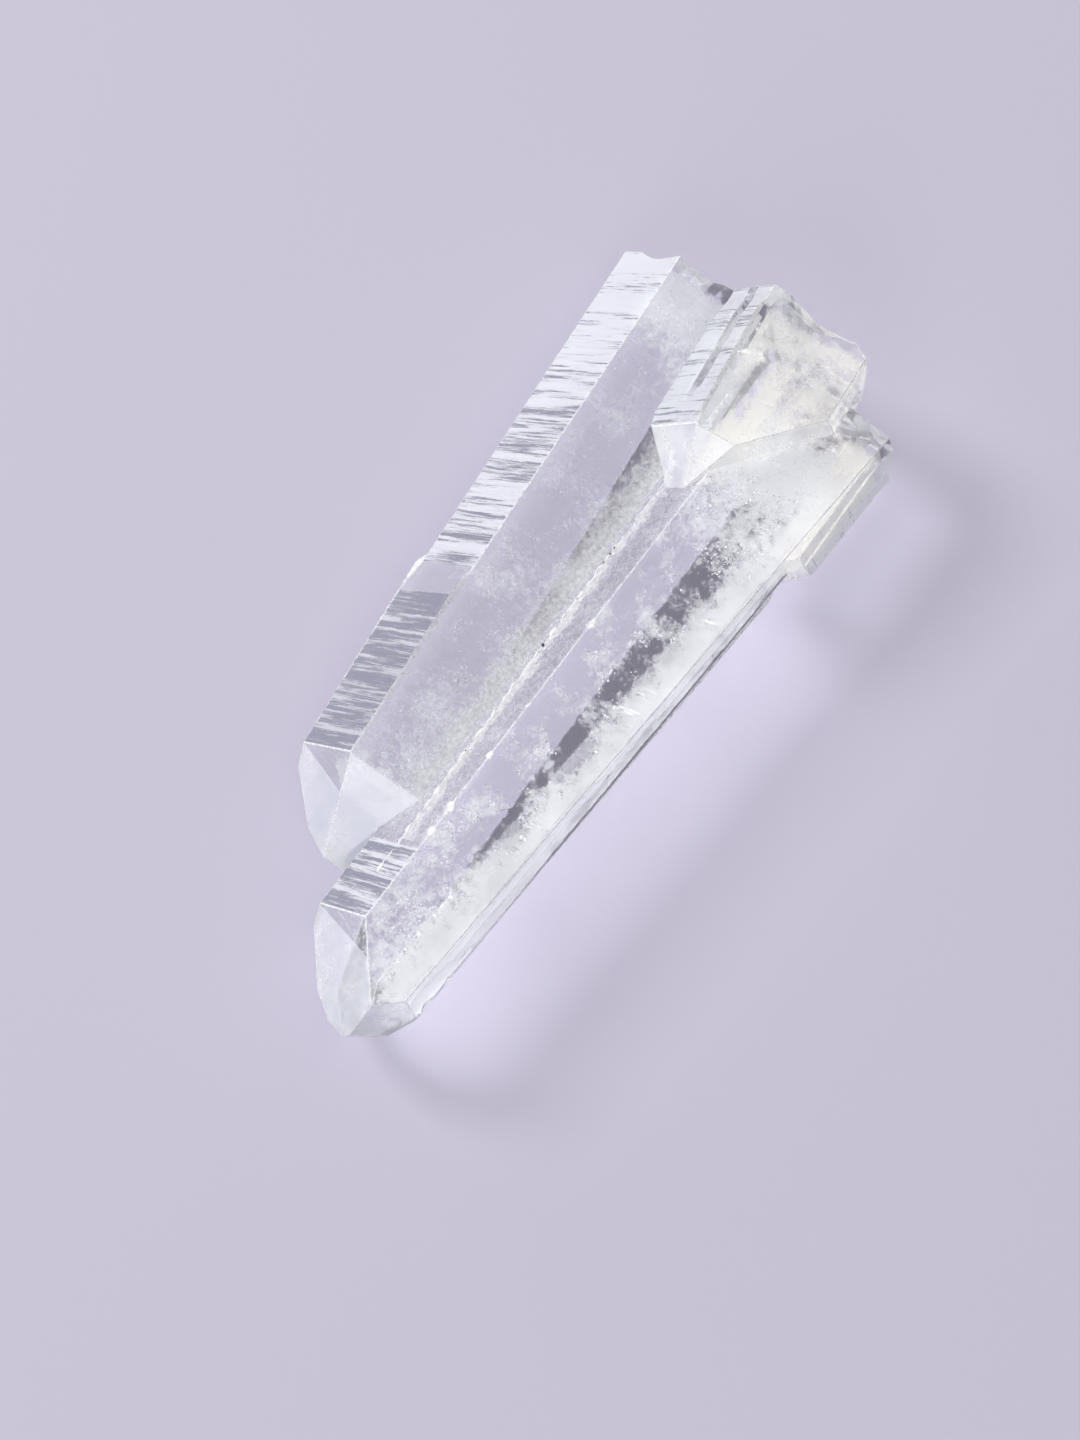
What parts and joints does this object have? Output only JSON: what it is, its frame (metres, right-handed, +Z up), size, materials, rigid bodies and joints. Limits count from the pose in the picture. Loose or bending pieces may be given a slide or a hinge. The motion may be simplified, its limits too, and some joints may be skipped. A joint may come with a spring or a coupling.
{
  "type": "quartz point",
  "caption": "Natural clear quartz point: slender six-sided crystals grown together side by side with pointed tips at one end and a broken base at the other, lying on a surface.",
  "frame": {"origin": "on the surface the piece lies on, below the middle of its bounding box", "axes": "+X along the crystals towards the pointed tips, +Y across towards the longer crystal, +Z up"},
  "size_m": [0.0456, 0.0192, 0.0087],
  "materials": {
    "quartz": "clear rock crystal with glossy prism faces, frosted pointed faces and milky veils inside"
  },
  "bodies": {
    "root": {"quartz_point": "quartz"}
  },
  "joints": []
}
